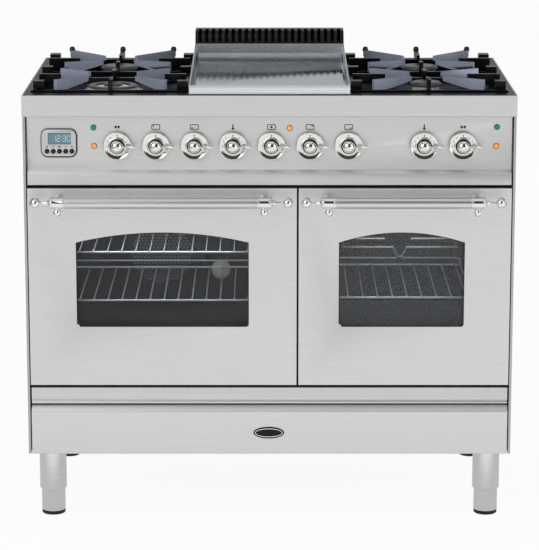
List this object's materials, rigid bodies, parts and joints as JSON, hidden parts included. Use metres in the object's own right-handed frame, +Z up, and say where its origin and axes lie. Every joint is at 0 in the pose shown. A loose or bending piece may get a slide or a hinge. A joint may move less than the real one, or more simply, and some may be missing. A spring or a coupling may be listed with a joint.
{
  "type": "range cooker with double oven",
  "caption": "Free-standing range cooker: two ovens with drop-down doors and bar handles, storage drawer, gas burners, griddle, turning knobs and a timer.",
  "frame": {"origin": "on the floor, under the middle of the bounding box", "axes": "+X to the cooker's right as seen from the front, +Y towards the back, +Z up"},
  "size_m": [1, 0.6578, 0.966],
  "materials": {
    "brushed_steel_body": "brushed satin",
    "galvanised_sheet": "zinc",
    "black_enamel": "gloss enamel",
    "black_cap": "satin enamel",
    "cast_iron": "satin enamelled cast iron",
    "brass_crown": "machined",
    "griddle_steel": "ground plate",
    "rack_wire": "chromed wire",
    "heater_sheath": "oxidised",
    "lamp_glass": "clear",
    "door_glass": "tinted",
    "seal_rubber": "matt",
    "chrome": "polished",
    "leg_steel": "turned",
    "tap_brass": "plain",
    "motor_metal": "plain",
    "black_plastic": "matt",
    "timer_case": "satin grey",
    "display": "lit display",
    "lamp_lens": "translucent lens"
  },
  "bodies": {
    "cooker": {"back_panel": "galvanised_sheet", "base_tray": "galvanised_sheet", "burner_caps": "black_cap", "burner_crowns": "brass_crown", "control_panel": "brushed_steel_body", "door_seals": "seal_rubber", "fan_baffle": "black_enamel", "fan_motor": "motor_metal", "front_frame": "black_enamel", "gas_manifold": "tap_brass", "griddle_plate": "griddle_steel", "griddle_surround": "brushed_steel_body", "heating_elements": "heater_sheath", "hob_rim": "brushed_steel_body", "hob_tray": "black_enamel", "indicator_lamps": "lamp_lens", "leg_feet": "seal_rubber", "leg_sleeves": "leg_steel", "oven_lamps": "lamp_glass", "oven_liner_left": "black_enamel", "oven_liner_right": "black_enamel", "oven_racks": "rack_wire", "side_panel_left": "brushed_steel_body", "side_panel_right": "brushed_steel_body", "terminal_box": "black_plastic", "timer_display": "display", "timer_housing": "timer_case", "trim_strip": "brushed_steel_body", "vent_grille": "brushed_steel_body"},
    "door_left": {"door_left_panel": "brushed_steel_body", "door_left_inner_frame": "galvanised_sheet", "door_left_glass": "door_glass", "door_left_handle": "chrome"},
    "door_right": {"door_right_panel": "brushed_steel_body", "door_right_inner_frame": "galvanised_sheet", "door_right_glass": "door_glass", "door_right_handle": "chrome"},
    "drawer": {"drawer_front": "brushed_steel_body", "drawer_box": "galvanised_sheet"},
    "knob_left_oven_mode": {"knob_left_oven_mode": "chrome"},
    "stem_rear_left_burner": {"stem_rear_left_burner": "tap_brass"},
    "knob_rear_left_burner": {"knob_rear_left_burner": "chrome"},
    "stem_front_left_burner": {"stem_front_left_burner": "tap_brass"},
    "knob_front_left_burner": {"knob_front_left_burner": "chrome"},
    "knob_left_oven_heat": {"knob_left_oven_heat": "chrome"},
    "knob_griddle": {"knob_griddle": "chrome"},
    "stem_rear_right_burner": {"stem_rear_right_burner": "tap_brass"},
    "knob_rear_right_burner": {"knob_rear_right_burner": "chrome"},
    "stem_front_right_burner": {"stem_front_right_burner": "tap_brass"},
    "knob_front_right_burner": {"knob_front_right_burner": "chrome"},
    "knob_right_oven_heat": {"knob_right_oven_heat": "chrome"},
    "knob_right_oven_mode": {"knob_right_oven_mode": "chrome"},
    "timer_button_1": {"timer_button_1": "black_plastic"},
    "timer_button_2": {"timer_button_2": "black_plastic"},
    "timer_button_3": {"timer_button_3": "black_plastic"},
    "timer_button_4": {"timer_button_4": "black_plastic"},
    "timer_button_5": {"timer_button_5": "black_plastic"},
    "pan_support_left": {"pan_support_left": "cast_iron"},
    "pan_support_right": {"pan_support_right": "cast_iron"},
    "fan": {"fan_wheel": "motor_metal"}
  },
  "joints": [
    {"name": "door_left_hinge", "type": "hinge", "parent": "cooker", "child": "door_left", "pos_m": [0, -0.261, 0.3065], "axis": [1, 0, 0], "range_deg": [0, 90]},
    {"name": "door_right_hinge", "type": "hinge", "parent": "cooker", "child": "door_right", "pos_m": [0, -0.261, 0.3065], "axis": [1, 0, 0], "range_deg": [0, 90]},
    {"name": "drawer_slide", "type": "slide", "parent": "cooker", "child": "drawer", "axis": [0, -1, 0], "range_m": [0, 0.33]},
    {"name": "knob_left_oven_mode_turn", "type": "hinge", "parent": "cooker", "child": "knob_left_oven_mode", "pos_m": [-0.308, -0.264, 0.793], "axis": [0, -1, 0], "range_deg": [0, 330]},
    {"name": "knob_rear_left_burner_turn", "type": "hinge", "parent": "cooker", "child": "stem_rear_left_burner", "pos_m": [-0.23, -0.264, 0.793], "axis": [0, -1, 0], "range_deg": [0, 210]},
    {"name": "knob_rear_left_burner_push", "type": "slide", "parent": "stem_rear_left_burner", "child": "knob_rear_left_burner", "axis": [0, 1, 0], "range_m": [0, 0.004], "stiffness_N_per_m": 800, "springref_m": -0.002},
    {"name": "knob_front_left_burner_turn", "type": "hinge", "parent": "cooker", "child": "stem_front_left_burner", "pos_m": [-0.152, -0.264, 0.793], "axis": [0, -1, 0], "range_deg": [0, 210]},
    {"name": "knob_front_left_burner_push", "type": "slide", "parent": "stem_front_left_burner", "child": "knob_front_left_burner", "axis": [0, 1, 0], "range_m": [0, 0.004], "stiffness_N_per_m": 800, "springref_m": -0.002},
    {"name": "knob_left_oven_heat_turn", "type": "hinge", "parent": "cooker", "child": "knob_left_oven_heat", "pos_m": [-0.074, -0.264, 0.793], "axis": [0, -1, 0], "range_deg": [0, 290]},
    {"name": "knob_griddle_turn", "type": "hinge", "parent": "cooker", "child": "knob_griddle", "pos_m": [0.004, -0.264, 0.793], "axis": [0, -1, 0], "range_deg": [0, 290]},
    {"name": "knob_rear_right_burner_turn", "type": "hinge", "parent": "cooker", "child": "stem_rear_right_burner", "pos_m": [0.082, -0.264, 0.793], "axis": [0, -1, 0], "range_deg": [0, 210]},
    {"name": "knob_rear_right_burner_push", "type": "slide", "parent": "stem_rear_right_burner", "child": "knob_rear_right_burner", "axis": [0, 1, 0], "range_m": [0, 0.004], "stiffness_N_per_m": 800, "springref_m": -0.002},
    {"name": "knob_front_right_burner_turn", "type": "hinge", "parent": "cooker", "child": "stem_front_right_burner", "pos_m": [0.16, -0.264, 0.793], "axis": [0, -1, 0], "range_deg": [0, 210]},
    {"name": "knob_front_right_burner_push", "type": "slide", "parent": "stem_front_right_burner", "child": "knob_front_right_burner", "axis": [0, 1, 0], "range_m": [0, 0.004], "stiffness_N_per_m": 800, "springref_m": -0.002},
    {"name": "knob_right_oven_heat_turn", "type": "hinge", "parent": "cooker", "child": "knob_right_oven_heat", "pos_m": [0.313, -0.264, 0.793], "axis": [0, -1, 0], "range_deg": [0, 290]},
    {"name": "knob_right_oven_mode_turn", "type": "hinge", "parent": "cooker", "child": "knob_right_oven_mode", "pos_m": [0.3915, -0.264, 0.793], "axis": [0, -1, 0], "range_deg": [0, 330]},
    {"name": "timer_button_1_press", "type": "slide", "parent": "cooker", "child": "timer_button_1", "axis": [0, 1, 0], "range_m": [0, 0.0012], "stiffness_N_per_m": 300, "springref_m": -0.001},
    {"name": "timer_button_2_press", "type": "slide", "parent": "cooker", "child": "timer_button_2", "axis": [0, 1, 0], "range_m": [0, 0.0012], "stiffness_N_per_m": 300, "springref_m": -0.001},
    {"name": "timer_button_3_press", "type": "slide", "parent": "cooker", "child": "timer_button_3", "axis": [0, 1, 0], "range_m": [0, 0.0012], "stiffness_N_per_m": 300, "springref_m": -0.001},
    {"name": "timer_button_4_press", "type": "slide", "parent": "cooker", "child": "timer_button_4", "axis": [0, 1, 0], "range_m": [0, 0.0012], "stiffness_N_per_m": 300, "springref_m": -0.001},
    {"name": "timer_button_5_press", "type": "slide", "parent": "cooker", "child": "timer_button_5", "axis": [0, 1, 0], "range_m": [0, 0.0012], "stiffness_N_per_m": 300, "springref_m": -0.001},
    {"name": "pan_support_left_lift", "type": "slide", "parent": "cooker", "child": "pan_support_left", "axis": [0, 0, 1], "range_m": [0, 0.15]},
    {"name": "pan_support_right_lift", "type": "slide", "parent": "cooker", "child": "pan_support_right", "axis": [0, 0, 1], "range_m": [0, 0.15]},
    {"name": "fan_spin", "type": "hinge", "parent": "cooker", "child": "fan", "pos_m": [-0.238, 0.199, 0.48], "axis": [0, 1, 0], "continuous": true}
  ]
}
